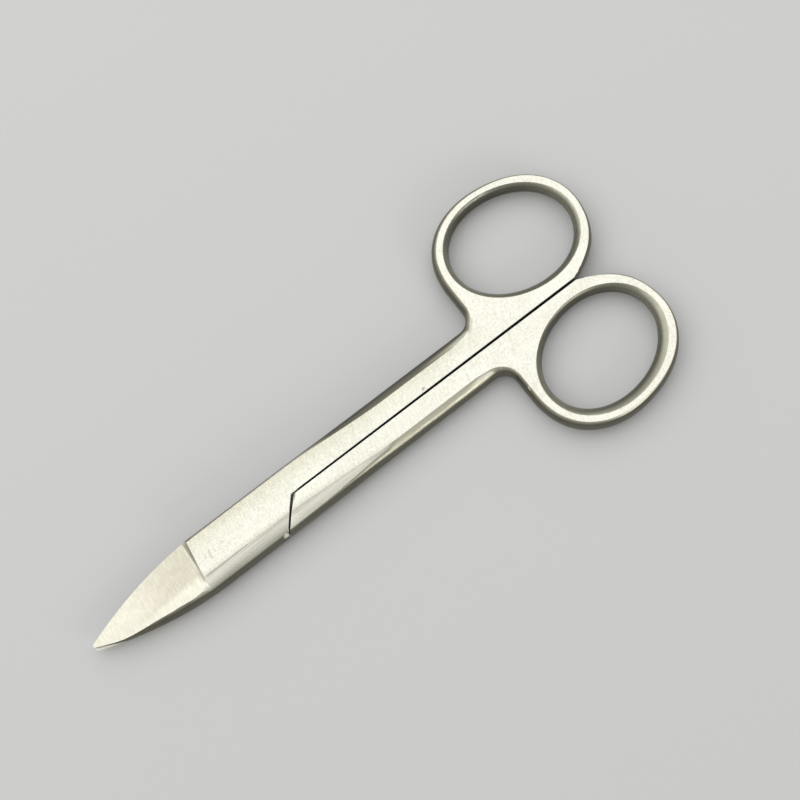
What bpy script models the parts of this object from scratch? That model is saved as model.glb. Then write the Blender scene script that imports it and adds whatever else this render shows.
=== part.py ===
"""Nail scissors: two like halves that cross at a flush pivot screw.

Frame: +X from the tips to the finger rings, +Y towards the upper half's ring, +Z up.
The origin is under the middle of the closed scissors, on the surface they rest on.
Each half is one forging, modelled about the pivot with its mid-plane at z = 0. The lower half
is the same forging turned half a turn about the long axis, but for its finger hole, which is
ground out by hand.
"""

import math
from dataclasses import dataclass

import bmesh
import bpy
from mathutils import Matrix, Vector

# Overall
TOTAL_LENGTH = 0.1000
TIP_REACH = 0.0285
JOINT_THICKNESS = 0.0040
RING_THICKNESS = 0.0030

# Clearances
LAP_GAP = 0.0002
STEP_GAP_INSIDE = 0.00035
STEP_GAP_OUTSIDE = 0.0002
SEAM_GAP_AT_JOINT = 0.00018
SEAM_GAP_AT_RINGS = 0.00036
PIVOT_GAP = 0.0001
THREAD_END_GAP = 0.0003

# Body: the lap at the joint and the shank behind it
LAP_HALF_WIDTH = 0.0047
NECK_HALF_WIDTH = 0.00455
LAP_ROUNDING = 0.0006
SHANK_ROUNDING = 0.0015
SHANK_ROUNDING_START_SHARE = 0.03
SHANK_ROUNDING_FULL_SHARE = 0.54
FLAT_EDGE_ANGLE = math.radians(55)
SMOOTH_ANGLE = math.radians(27)
EDGE_BREAK = 0.00010
EDGE_BREAK_DROP = 0.00004

# Oblique step where the lap meets the other half's shank
STEP_OUTER_X = 0.0052
STEP_INNER_X = 0.0093
STEP_CORNER_RADIUS = 0.0013

# Wide bevel ground along one long edge
BEVEL_INNER_Y = 0.00185
BEVEL_CREST_X = -0.0025
BEVEL_RADIUS = 0.333
BEVEL_ANGLE = math.radians(10)

# Blade
SHOULDER_X = -0.0087
EDGE_BELLY_SHARE = 0.915
TIP_RADIUS = 0.0004
TIP_OFFSET = 0.00026
TIP_SET_START_SHARE = 0.78
EDGE_THICKNESS = 0.00025
FACET_ANGLE = math.radians(10.8)
SHOULDER_ANGLE = math.radians(55)
SHOULDER_FILLET = 0.0005
SPINE_ROUNDING = 0.0019
SPINE_ROUNDING_FULL_SHARE = 0.6
HOLLOW_DEPTH = 0.00012
HOLLOW_LAND = 0.0008
HOLLOW_SETBACK = 0.0013
HOLLOW_TIP_SETBACK = 0.0025

# Finger ring: one oval outside and another inside, each an ellipse made slightly fuller.
# The inner one is where the flats end; the hole narrows within it, ground by hand in each half.
FINGER_LENGTH = 0.0217
FINGER_WIDTH = 0.0178
FINGER_TILT = math.radians(-13.5)
FINGER_POWER = 2.05
FINGER_SETBACK = 0.0004
FINGER_OFFSET = 0.00026
UPPER_WALL_ROUNDING = 0.00095
UPPER_WALL_SHIFT = (-0.0001, 0.00015)
LOWER_WALL_ROUNDING = 0.00115
LOWER_WALL_SHIFT = (-0.00015, -0.0004)
RING_END_WALL = 0.00163
RING_SIDE_WALL = 0.0018
RING_PARTING = 0.0001
RING_TILT = math.radians(-10.5)
RING_POWER = 2.16
RING_FRONT_ROUNDING = 0.0009
RING_REAR_ROUNDING = 0.0003
NECK_FILLET = 0.0022
SEAM_SETBACK = 0.0084
SEAM_FLARE_ANGLE = math.radians(24)
REAR_JOIN_ANGLE = math.radians(-28)

# Pivot screw, turned, with its flush slotted head in the lower half
HEAD_DIAMETER = 0.0046
HEAD_RIM = 0.0002
HEAD_RECESS = 0.00005
HEAD_CONE_ANGLE = math.radians(45)
BEARING_DIAMETER = 0.0026
THREAD_DIAMETER = 0.0020
THREAD_LENGTH = 0.0011
THREAD_CHAMFER = 0.0002
SLOT_WIDTH = 0.0005
SLOT_DEPTH = 0.00045

# Fineness of the faceted shapes
BLADE_STEPS = 14
LAP_STEPS = 6
CORNER_STEPS = 6
REAR_STEPS = 10
RING_STEPS = 48
FILLET_STEPS = 8
SHANK_STEPS = 14
TIP_STEPS = 6
FINGER_STEPS = 72
SIDE_STEPS = 4
TURN_STEPS = 48

OVERRUN = 0.0100
MERGE_DISTANCE = 0.0000001

HALF_JOINT = JOINT_THICKNESS / 2
RING_END_X = TOTAL_LENGTH - TIP_REACH
PIVOT_X = TIP_REACH - TOTAL_LENGTH / 2
TAPER_START_X = STEP_INNER_X + STEP_CORNER_RADIUS
SEAM_END_X = RING_END_X - SEAM_SETBACK
BLADE_END_X = TIP_RADIUS - TIP_REACH
RING_LENGTH = FINGER_LENGTH + 2 * RING_END_WALL
RING_WIDTH = FINGER_WIDTH + 2 * RING_SIDE_WALL
RING_CENTRE_Y = RING_WIDTH / 2 + RING_PARTING
FINGER_CENTRE_Y = RING_CENTRE_Y + FINGER_OFFSET


def blend(value, start, end):
    """Rises smoothly from 0 at start to 1 at end."""
    share = min(max((value - start) / (end - start), 0), 1)
    return share * share * (3 - 2 * share)


def between(share, first, last):
    """The value that lies this share of the way from first to last."""
    return first + (last - first) * share


def half_thickness(x):
    """Flats are parallel over the joint and taper from the step to the ring's end."""
    share = max((x - TAPER_START_X) / (RING_END_X - TAPER_START_X), 0)
    return between(share, HALF_JOINT, RING_THICKNESS / 2)


def seam_y(x):
    """Distance of the seam wall from the long axis."""
    share = (x - STEP_INNER_X) / (RING_END_X - STEP_INNER_X)
    return between(share, SEAM_GAP_AT_JOINT, SEAM_GAP_AT_RINGS) / 2


def ring_reach():
    """Half the reach along X of the ring's tilted outer oval."""
    power = RING_POWER / (RING_POWER - 1)
    along = RING_LENGTH / 2 * math.cos(RING_TILT)
    across = RING_WIDTH / 2 * abs(math.sin(RING_TILT))
    return (along**power + across**power) ** (1 / power)


RING_CENTRE_X = RING_END_X - ring_reach()
NECK_X = RING_CENTRE_X - ring_reach()


def oval_point(length, width, power, angle):
    """Point of an oval: an ellipse where the power is 2, fuller where it is more."""
    along = math.copysign(abs(math.cos(angle)) ** (2 / power), math.cos(angle))
    across = math.copysign(abs(math.sin(angle)) ** (2 / power), math.sin(angle))
    return Vector((length / 2 * along, width / 2 * across))


def ring_point(angle):
    """Point of the ring's outer oval."""
    point = oval_point(RING_LENGTH, RING_WIDTH, RING_POWER, angle)
    return Vector((RING_CENTRE_X, RING_CENTRE_Y)) + Matrix.Rotation(RING_TILT, 2) @ point


def finger_point(angle, inward=0, shift=(0, 0)):
    """Point of the oval where the flats end, or of one this far inside it and shifted."""
    length, width = FINGER_LENGTH - 2 * inward, FINGER_WIDTH - 2 * inward
    point = Matrix.Rotation(FINGER_TILT, 2) @ oval_point(length, width, FINGER_POWER, angle)
    centre = Vector((RING_CENTRE_X + FINGER_SETBACK, FINGER_CENTRE_Y))
    return centre + Vector(shift) + point


def body_half_width(x):
    """Half width of the lap and the shank, narrowing slightly towards the neck."""
    share = (x - SHOULDER_X) / (NECK_X - SHOULDER_X)
    return between(share, LAP_HALF_WIDTH, NECK_HALF_WIDTH)


def blade_share(x):
    """How far along the blade this is, from 0 at the shoulder to 1 at the rounded tip."""
    return (SHOULDER_X - x) / (SHOULDER_X - BLADE_END_X)


def edge_y(x):
    """Blade outline: a parabola from the shoulder to the rounded tip."""
    share = blade_share(x)
    end_y = TIP_OFFSET + TIP_RADIUS
    belly = EDGE_BELLY_SHARE * LAP_HALF_WIDTH
    first = between(share, LAP_HALF_WIDTH, belly)
    last = between(share, belly, end_y)
    return between(share, first, last)


def spine_y(x):
    """The back follows the edge of the other blade, then falls away to the set tip."""
    return edge_y(x) - 2 * TIP_OFFSET * blend(blade_share(x), TIP_SET_START_SHARE, 1)


@dataclass
class Station:
    """One place on the outline: where it is, how its side leans and how its flats end.

    The lean points from the outline towards the flat. The rounding is how far the flat's
    edge lies inward, and a bevel is the width of the strip ground beyond that edge.
    """

    x: float
    y: float
    rounding: float
    top_bevel: float = EDGE_BREAK
    bottom_bevel: float = EDGE_BREAK
    lean: tuple = ()


def side_rounding(x):
    """Rounding of the outer side, from the joint along the shank and round the ring."""
    share = (x - STEP_INNER_X) / (NECK_X - STEP_INNER_X)
    fullness = blend(share, SHANK_ROUNDING_START_SHARE, SHANK_ROUNDING_FULL_SHARE)
    shank = between(fullness, LAP_ROUNDING, SHANK_ROUNDING)
    share = max((x - NECK_X) / (RING_END_X - NECK_X), 0)
    ring = between(share, RING_FRONT_ROUNDING, RING_REAR_ROUNDING)
    return between(blend(x, NECK_X - 2 * NECK_FILLET, NECK_X), shank, ring)


def bevel_width(x, half_width, rounding):
    """Width of the long bevel, whose inner edge is a slight curve across the flats."""
    inner_y = BEVEL_INNER_Y + (x - BEVEL_CREST_X) ** 2 / (2 * BEVEL_RADIUS)
    return max(half_width - rounding - inner_y, EDGE_BREAK)


def edge_stations():
    """Stations of the blade's cutting edge, from beside the tip to the shoulder."""
    stations = []
    for step in range(BLADE_STEPS):
        x = between(step / BLADE_STEPS, BLADE_END_X, SHOULDER_X)
        rounding = min(LAP_ROUNDING, edge_y(x) / 3)
        stations.append(Station(x, edge_y(x), rounding, top_bevel=rounding / 4))
    return stations


def spine_stations():
    """Stations of the blade's rounded back, from beside the tip to the shoulder."""
    stations = []
    for step in range(BLADE_STEPS):
        x = between(step / BLADE_STEPS, BLADE_END_X, SHOULDER_X)
        fullness = blend(blade_share(x), 0, SPINE_ROUNDING_FULL_SHARE)
        rounding = min(between(fullness, LAP_ROUNDING, SPINE_ROUNDING), spine_y(x) / 2)
        bevel = min(bevel_width(x, spine_y(x), rounding), spine_y(x) / 4)
        stations.append(Station(x, -spine_y(x), rounding, top_bevel=bevel))
    return stations


def tip_stations():
    """Stations round the tip, from its cutting side to its back, both ends left out."""
    stations = []
    for step in range(1, TIP_STEPS):
        angle = math.pi / 2 + math.pi * step / TIP_STEPS
        x = BLADE_END_X + TIP_RADIUS * math.cos(angle)
        y = TIP_OFFSET + TIP_RADIUS * math.sin(angle)
        stations.append(Station(x, y, TIP_RADIUS / 3, top_bevel=TIP_RADIUS / 8))
    return stations


def lap_stations():
    """Stations of the lap's free side, from the shoulder to the foot of the step."""
    stations = []
    for step in range(LAP_STEPS):
        x = between(step / LAP_STEPS, SHOULDER_X, STEP_OUTER_X)
        half_width = body_half_width(x)
        bevel = bevel_width(x, half_width, LAP_ROUNDING)
        stations.append(Station(x, -half_width, LAP_ROUNDING, top_bevel=bevel))
    half_width = body_half_width(STEP_OUTER_X)
    slope = (STEP_INNER_X - STEP_OUTER_X) / half_width
    bevel = bevel_width(STEP_OUTER_X, half_width, LAP_ROUNDING)
    stations.append(
        Station(STEP_OUTER_X, -half_width, LAP_ROUNDING, top_bevel=bevel, lean=(slope, 1))
    )
    return stations


def seam_stations():
    """Stations of the straight seam, from the head of the step to the ring's rear."""
    places = (STEP_INNER_X, TAPER_START_X, SEAM_END_X)
    return [Station(x, seam_y(x), 0, 0, 0, lean=(0, 1)) for x in places]


def rear_stations():
    """Stations where the seam wall swings out into the ring's rounded rear."""
    start = Vector((SEAM_END_X, seam_y(SEAM_END_X)))
    end = ring_point(REAR_JOIN_ANGLE)
    ahead = ring_point(REAR_JOIN_ANGLE + math.pi / 2 / RING_STEPS)
    reach = (end - start).length / 3
    inner = start + Matrix.Rotation(SEAM_FLARE_ANGLE, 2) @ Vector((reach, 0))
    outer = end - (ahead - end).normalized() * reach
    stations = []
    for step in range(1, REAR_STEPS):
        share = step / REAR_STEPS
        point = (
            start * (1 - share) ** 3
            + inner * 3 * share * (1 - share) ** 2
            + outer * 3 * share**2 * (1 - share)
            + end * share**3
        )
        rounding = side_rounding(point.x) * blend(share, 0, 1)
        bevel = EDGE_BREAK * share
        stations.append(Station(point.x, point.y, rounding, bevel, bevel))
    return stations


def ring_stations():
    """Stations of the ring's outer oval, from its rear round to its foremost point."""
    slope = RING_WIDTH / RING_LENGTH * math.tan(-RING_TILT)
    power = RING_POWER / (RING_POWER - 1) / 2
    front = math.pi + math.atan(slope**power)
    stations = []
    for step in range(RING_STEPS + 1):
        point = ring_point(between(step / RING_STEPS, REAR_JOIN_ANGLE, front))
        stations.append(Station(point.x, point.y, side_rounding(point.x)))
    return stations


def neck_stations():
    """Stations of the straight front of the ring and the fillet into the shank."""
    centre_x = NECK_X - NECK_FILLET
    centre_y = body_half_width(centre_x) + NECK_FILLET
    stations = []
    for step in range(FILLET_STEPS + 1):
        angle = -math.pi / 2 * step / FILLET_STEPS
        x = centre_x + NECK_FILLET * math.cos(angle)
        y = centre_y + NECK_FILLET * math.sin(angle)
        stations.append(Station(x, y, side_rounding(x)))
    return stations


def shank_stations():
    """Stations of the shank's outer side, from the neck to the shoulder."""
    start_x = NECK_X - NECK_FILLET
    shares = [step / SHANK_STEPS for step in range(1, SHANK_STEPS + 1)]
    places = [between(share, start_x, TAPER_START_X) for share in shares]
    shares = [step / LAP_STEPS for step in range(1, LAP_STEPS + 1)]
    places += [between(share, TAPER_START_X, SHOULDER_X) for share in shares]
    stations = []
    for x in places:
        half_width = body_half_width(x)
        rounding = side_rounding(x)
        bevel = bevel_width(x, half_width, rounding)
        stations.append(Station(x, half_width, rounding, bottom_bevel=bevel))
    return stations


def outline_stations():
    """The whole outline of a half, seen from above and run anticlockwise from the tip."""
    stations = spine_stations()
    stations += lap_stations()
    stations += seam_stations()
    stations += rear_stations()
    stations += ring_stations()
    stations += neck_stations()
    stations += shank_stations()
    stations += reversed(edge_stations())
    stations += tip_stations()
    return with_leans(stations)


def finger_stations(rounding, shift):
    """Stations of the finger hole, run clockwise so that the metal lies on the left."""
    stations = []
    for step in range(FINGER_STEPS):
        angle = -2 * math.pi * step / FINGER_STEPS
        point = finger_point(angle, rounding, shift)
        lean = finger_point(angle) - point
        reach = lean.length - EDGE_BREAK
        stations.append(Station(point.x, point.y, reach, lean=tuple(lean.normalized())))
    return stations


def with_leans(stations):
    """Gives each station that has no lean of its own one square to the outline."""
    count = len(stations)
    for index, station in enumerate(stations):
        if not station.lean:
            before = stations[index - 1]
            after = stations[(index + 1) % count]
            tangent = Vector((after.x - before.x, after.y - before.y)).normalized()
            station.lean = (-tangent.y, tangent.x)
    return stations


def side_column(station, bevel, up):
    """Points from just beyond the mid-plane to the flat, along one station's side."""
    height = half_thickness(station.x)
    drop = max(math.tan(BEVEL_ANGLE) * bevel, EDGE_BREAK_DROP)
    points = []
    for step in range(1, SIDE_STEPS + 1):
        angle = FLAT_EDGE_ANGLE * step / SIDE_STEPS
        inward = station.rounding * (1 - math.cos(angle)) / (1 - math.cos(FLAT_EDGE_ANGLE))
        rise = (height - drop) * math.sin(angle) / math.sin(FLAT_EDGE_ANGLE)
        points.append((inward, rise))
    points.append((station.rounding + bevel, height))
    lean = Vector(station.lean)
    return [
        Vector((station.x + lean.x * inward, station.y + lean.y * inward, rise * up))
        for inward, rise in points
    ]


def add_wall(mesh, stations):
    """Adds the wall along a closed run of stations and returns its lowest and highest loop."""
    columns = []
    for station in stations:
        lower = side_column(station, station.bottom_bevel, -1)
        upper = side_column(station, station.top_bevel, 1)
        points = lower[::-1] + [Vector((station.x, station.y, 0))] + upper
        columns.append([mesh.verts.new(point) for point in points])
    for index, column in enumerate(columns):
        after = columns[(index + 1) % len(columns)]
        for row in range(len(column) - 1):
            mesh.faces.new((column[row], after[row], after[row + 1], column[row + 1]))
    return [column[0] for column in columns], [column[-1] for column in columns]


def add_flat(mesh, outline, hole, fold, rear_fold):
    """Closes one flat: level before the fold, tapered and pierced by the finger hole behind."""
    mesh.faces.new(outline[rear_fold:] + outline[: fold + 1])
    rim = outline[fold : rear_fold + 1]
    edges = [loop_edge(mesh, first, last) for first, last in zip(rim, rim[1:] + rim[:1])]
    edges += [loop_edge(mesh, first, last) for first, last in zip(hole, hole[1:] + hole[:1])]
    bmesh.ops.triangle_fill(mesh, edges=edges, use_beauty=True)


def loop_edge(mesh, first, last):
    """The edge between two vertices, made if it is missing."""
    return mesh.edges.get((first, last)) or mesh.edges.new((first, last))


def forging_mesh(rounding, shift):
    """A half before its lap, blade and pivot hole are cut."""
    stations = outline_stations()
    on_taper = [
        index for index, station in enumerate(stations)
        if math.isclose(station.x, TAPER_START_X, abs_tol=MERGE_DISTANCE)
    ]
    fold, rear_fold = min(on_taper), max(on_taper)
    mesh = bmesh.new()
    lowest, highest = add_wall(mesh, stations)
    finger_lowest, finger_highest = add_wall(mesh, finger_stations(rounding, shift))
    add_flat(mesh, highest, finger_highest, fold, rear_fold)
    add_flat(mesh, lowest, finger_lowest, fold, rear_fold)
    bmesh.ops.recalc_face_normals(mesh, faces=mesh.faces)
    return finished_mesh(mesh, "forging")


def finished_mesh(mesh, name):
    """Turns a bmesh into mesh data, shaded smooth but for its sharp edges."""
    data = bpy.data.meshes.new(name)
    mesh.to_mesh(data)
    mesh.free()
    data.shade_smooth()
    data.set_sharp_from_angle(angle=SMOOTH_ANGLE)
    return data


def prism_mesh(name, points, sweep):
    """A flat polygon swept along a vector."""
    mesh = bmesh.new()
    face = mesh.faces.new([mesh.verts.new(point) for point in points])
    swept = bmesh.ops.extrude_face_region(mesh, geom=[face])["geom"]
    moved = [item for item in swept if isinstance(item, bmesh.types.BMVert)]
    bmesh.ops.translate(mesh, verts=moved, vec=sweep)
    bmesh.ops.recalc_face_normals(mesh, faces=mesh.faces)
    return finished_mesh(mesh, name)


def lap_cutter_mesh():
    """Takes away the layer under the lap and blade, back to the other half's step."""
    left = -TIP_REACH - OVERRUN
    side = LAP_HALF_WIDTH + OVERRUN
    half_width = body_half_width(STEP_OUTER_X)
    step_angle = math.atan2(half_width, STEP_OUTER_X - STEP_INNER_X)
    head = Vector((STEP_INNER_X + STEP_GAP_INSIDE / math.sin(step_angle), 0))
    foot = Vector((STEP_OUTER_X + STEP_GAP_OUTSIDE / math.sin(step_angle), half_width))
    up_step = (foot - head).normalized()
    turn = math.atan2(up_step.y, up_step.x)
    tangent_length = STEP_CORNER_RADIUS * math.tan((math.pi - turn) / 2)
    centre = head + Vector((tangent_length, STEP_CORNER_RADIUS))
    points = [Vector((left, -side)), Vector((head.x + tangent_length, -side))]
    for step in range(CORNER_STEPS + 1):
        angle = -math.pi / 2 - (math.pi - turn) * step / CORNER_STEPS
        points.append(centre + STEP_CORNER_RADIUS * Vector((math.cos(angle), math.sin(angle))))
    points.append(head + up_step * side)
    points.append(Vector((left, side)))
    floor = -HALF_JOINT - OVERRUN
    corners = [(point.x, point.y, floor) for point in points]
    return prism_mesh("lap_cutter", corners, (0, 0, LAP_GAP / 2 - floor))


def facet_cutter_mesh():
    """Grinds the blade's outer face: a slant plane that ends in a coved shoulder."""
    edge_z = LAP_GAP / 2 + EDGE_THICKNESS
    edge_start = Vector((SHOULDER_X, LAP_HALF_WIDTH, edge_z))
    edge_end = Vector((BLADE_END_X, TIP_OFFSET + TIP_RADIUS, edge_z))
    across = Vector((0, math.cos(FACET_ANGLE), -math.sin(FACET_ANGLE)))
    normal = across.cross(edge_end - edge_start).normalized()
    along = across.cross(normal)
    tangent_length = SHOULDER_FILLET * math.tan(SHOULDER_ANGLE / 2)
    profile = [(-TIP_REACH - OVERRUN, 0)]
    for step in range(FILLET_STEPS + 1):
        angle = SHOULDER_ANGLE * step / FILLET_STEPS
        run = SHOULDER_FILLET * math.sin(angle) - tangent_length
        profile.append((run, SHOULDER_FILLET * (1 - math.cos(angle))))
    profile.append((OVERRUN / math.tan(SHOULDER_ANGLE), OVERRUN))
    profile.append((-TIP_REACH - OVERRUN, OVERRUN))
    start = edge_start + across * OVERRUN
    points = [start + along * run + normal * rise for run, rise in profile]
    return prism_mesh("facet_cutter", points, -across * 2 * (OVERRUN + LAP_HALF_WIDTH))


def hollow_cutter_mesh():
    """Hollows the blade's inner face slightly, leaving a land along the edge and the back."""
    places = (SHOULDER_X - HOLLOW_SETBACK, BLADE_END_X + HOLLOW_TIP_SETBACK)
    widths = [edge_y(x) + spine_y(x) - 2 * HOLLOW_LAND for x in places]
    mesh = bmesh.new()
    rows = []
    for x, width in zip(places, widths):
        middle = (edge_y(x) - spine_y(x)) / 2
        depth = HOLLOW_DEPTH * width / widths[0]
        row = [mesh.verts.new((x, middle - width / 2, -OVERRUN))]
        for step in range(FILLET_STEPS + 1):
            share = step / FILLET_STEPS
            y = middle + width * (share - 1 / 2)
            row.append(mesh.verts.new((x, y, LAP_GAP / 2 + depth * math.sin(math.pi * share))))
        row.append(mesh.verts.new((x, middle + width / 2, -OVERRUN)))
        rows.append(row)
    first, last = rows
    for index in range(len(first)):
        mesh.faces.new((first[index - 1], first[index], last[index], last[index - 1]))
    mesh.faces.new(first)
    mesh.faces.new(last)
    bmesh.ops.recalc_face_normals(mesh, faces=mesh.faces)
    return finished_mesh(mesh, "hollow_cutter")


def mesh_object(name, data, collection):
    """An object for this mesh in this collection."""
    made = bpy.data.objects.new(name, data)
    collection.objects.link(made)
    return made


def turned_object(name, profile, collection):
    """A solid of revolution about Z from a profile that runs down its outer side."""
    data = bpy.data.meshes.new(name)
    vertices = [(radius, 0, height) for radius, height in profile]
    edges = [(index, index + 1) for index in range(len(vertices) - 1)]
    data.from_pydata(vertices, edges, [])
    turned = mesh_object(name, data, collection)
    screw = turned.modifiers.new("turn", "SCREW")
    screw.steps = TURN_STEPS
    screw.render_steps = TURN_STEPS
    screw.use_merge_vertices = True
    screw.merge_threshold = MERGE_DISTANCE
    depsgraph = bpy.context.evaluated_depsgraph_get()
    turned.data = bpy.data.meshes.new_from_object(turned.evaluated_get(depsgraph))
    turned.modifiers.clear()
    turned.data.shade_smooth()
    turned.data.set_sharp_from_angle(angle=SMOOTH_ANGLE)
    return turned


def bearing_profile(grow, head_height, end_height):
    """Outer side of the screw's head and bearing, or of the bore for them when grown."""
    head_radius = HEAD_DIAMETER / 2 + grow
    bearing_radius = BEARING_DIAMETER / 2 + grow
    cone_height = (head_radius - bearing_radius) / math.tan(HEAD_CONE_ANGLE)
    rim_bottom = HALF_JOINT - HEAD_RECESS - HEAD_RIM
    return [
        (0, head_height),
        (head_radius, head_height),
        (head_radius, rim_bottom),
        (bearing_radius, rim_bottom - cone_height),
        (bearing_radius, end_height),
    ]


def cut(target, cutter):
    """Subtracts a cutter, which follows the piece that it cuts."""
    cutter.parent = target
    cutter.hide_render = True
    cutter.display_type = "WIRE"
    modifier = target.modifiers.new(cutter.name, "BOOLEAN")
    modifier.operation = "DIFFERENCE"
    modifier.solver = "EXACT"
    modifier.object = cutter


def steel(name, colour, roughness):
    """A bare metal material."""
    material = bpy.data.materials.new(name)
    material.use_nodes = True
    shader = material.node_tree.nodes["Principled BSDF"]
    shader.inputs["Base Color"].default_value = (*colour, 1)
    shader.inputs["Metallic"].default_value = 1
    shader.inputs["Roughness"].default_value = roughness
    return material


def make_half(name, forging, hole, cutters, parts, material):
    """One half: the forging, cut to its lap, its blade and its pivot hole."""
    half = mesh_object(name, forging, parts)
    half.data.materials.append(material)
    cut(half, mesh_object(name + "_lap_cutter", lap_cutter_mesh(), cutters))
    cut(half, mesh_object(name + "_facet_cutter", facet_cutter_mesh(), cutters))
    cut(half, mesh_object(name + "_hollow_cutter", hollow_cutter_mesh(), cutters))
    cut(half, hole)
    return half


def make_bore(cutters):
    """The cutter for the lower half's countersunk bore, which clears the screw."""
    profile = bearing_profile(PIVOT_GAP, HALF_JOINT + OVERRUN, -OVERRUN)
    return turned_object("bore_cutter", profile + [(0, -OVERRUN)], cutters)


def make_thread_hole(cutters):
    """The cutter for the upper half's blind hole, which leaves its outer face whole."""
    end = LAP_GAP / 2 + THREAD_LENGTH + THREAD_END_GAP
    radius = THREAD_DIAMETER / 2 + PIVOT_GAP
    profile = [(0, end), (radius, end), (radius, -OVERRUN), (0, -OVERRUN)]
    return turned_object("thread_hole_cutter", profile, cutters)


def make_screw(cutters, parts, material):
    """The pivot screw, modelled head up like the lower half's forging."""
    head_height = HALF_JOINT - HEAD_RECESS
    end_height = -LAP_GAP / 2 - THREAD_LENGTH
    radius = THREAD_DIAMETER / 2
    profile = bearing_profile(0, head_height, 0) + [
        (radius, 0),
        (radius, end_height + THREAD_CHAMFER),
        (radius - THREAD_CHAMFER, end_height),
        (0, end_height),
    ]
    screw = turned_object("pivot_screw", profile, parts)
    screw.data.materials.append(material)
    slot = bmesh.new()
    bmesh.ops.create_cube(slot, size=1)
    size = (HEAD_DIAMETER + OVERRUN, SLOT_WIDTH, 2 * SLOT_DEPTH)
    bmesh.ops.scale(slot, vec=size, verts=slot.verts)
    bmesh.ops.translate(slot, vec=(0, 0, head_height), verts=slot.verts)
    cut(screw, mesh_object("slot_cutter", finished_mesh(slot, "slot_cutter"), cutters))
    return screw


def new_collection(name):
    """A collection of this name in the scene."""
    made = bpy.data.collections.new(name)
    bpy.context.scene.collection.children.link(made)
    return made


def main():
    """Builds the two halves and the screw, and seats them on the pivot."""
    for old in list(bpy.context.scene.objects):
        bpy.data.objects.remove(old, do_unlink=True)
    parts = new_collection("nail_scissors")
    cutters = new_collection("cutters")
    ground_steel = steel("ground_steel", (0.80, 0.79, 0.76), 0.34)
    turned_steel = steel("turned_steel", (0.66, 0.65, 0.63), 0.26)
    forging = forging_mesh(UPPER_WALL_ROUNDING, UPPER_WALL_SHIFT)
    thread_hole = make_thread_hole(cutters)
    upper = make_half("upper_half", forging, thread_hole, cutters, parts, ground_steel)
    forging = forging_mesh(LOWER_WALL_ROUNDING, LOWER_WALL_SHIFT)
    lower = make_half("lower_half", forging, make_bore(cutters), cutters, parts, ground_steel)
    screw = make_screw(cutters, parts, turned_steel)

    pivot = bpy.data.objects.new("pivot_axis", None)
    parts.objects.link(pivot)
    pivot.location = (PIVOT_X, 0, HALF_JOINT)
    for piece, turn in ((upper, 0), (lower, math.pi), (screw, math.pi)):
        piece.parent = pivot
        piece.rotation_euler = (turn, 0, 0)


main()
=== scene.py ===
"""Nail scissors of bare steel, closed, on a pale studio floor.

Units are metres. +X runs from the tips to the finger rings, +Y towards the upper half's ring
and +Z up. Each half is dressed from its own solid: its facets become smooth sides and crisp
ground faces, and each kind of face gets a finish of its own, several of them with painted
shade and painted highlights in their colour.
"""

import logging
import math
from dataclasses import dataclass
from enum import Enum

import bmesh
import bpy
from mathutils import Euler, Matrix, Vector


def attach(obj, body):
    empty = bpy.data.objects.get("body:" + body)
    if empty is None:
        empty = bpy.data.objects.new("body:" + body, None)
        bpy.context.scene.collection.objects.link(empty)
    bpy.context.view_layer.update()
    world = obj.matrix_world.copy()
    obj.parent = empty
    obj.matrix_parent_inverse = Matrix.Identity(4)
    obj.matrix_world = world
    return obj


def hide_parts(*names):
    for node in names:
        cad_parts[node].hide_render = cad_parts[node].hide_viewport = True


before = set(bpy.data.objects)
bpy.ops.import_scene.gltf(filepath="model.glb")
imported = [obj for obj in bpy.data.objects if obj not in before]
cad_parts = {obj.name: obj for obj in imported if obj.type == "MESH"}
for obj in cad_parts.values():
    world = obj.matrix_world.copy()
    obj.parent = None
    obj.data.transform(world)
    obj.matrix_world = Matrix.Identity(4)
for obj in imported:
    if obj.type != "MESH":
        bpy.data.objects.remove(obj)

Colour = tuple[float, float, float]
Place = tuple[float, float, float]
Pair = tuple[float, float]
Socket = bpy.types.NodeSocket
Value = Socket | float | Vector | tuple[float, ...]

MM = 0.001
MICRON = 0.000001
UNCHANGED: Colour = (1.0, 1.0, 1.0)
# The most that a painted highlight may reach, so that the steel stays warm there.
BRIGHTEST_STEEL: Colour = (0.985, 0.975, 0.875)

log = logging.getLogger("nail_scissors")


class Zone(Enum):
    """Kinds of face on a half, each with a finish of its own."""

    FLAT = 0
    FACET = 1
    SHOULDER = 2
    LONG_BEVEL = 3
    SIDE = 4
    GAP_WALL = 5
    LAP = 6
    GAP_EDGE = 7
    RIM = 8
    HOLE = 9


PLANE_ZONES = (Zone.FLAT, Zone.FACET, Zone.LAP)


class Axis(Enum):
    """An axis of the object."""

    X = 0
    Y = 1
    Z = 2


class Lean(Enum):
    """How a face stands, kept under this name at each corner of a mesh, from 0 to 1."""

    UPRIGHT = "upright"
    CROSSWISE = "crosswise"

    def reading(self, normal: Vector) -> float:
        """Reads how upright a face with this normal is, or how far it faces along Y."""
        return 1.0 - abs(normal.z) if self is Lean.UPRIGHT else abs(normal.y)


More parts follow.
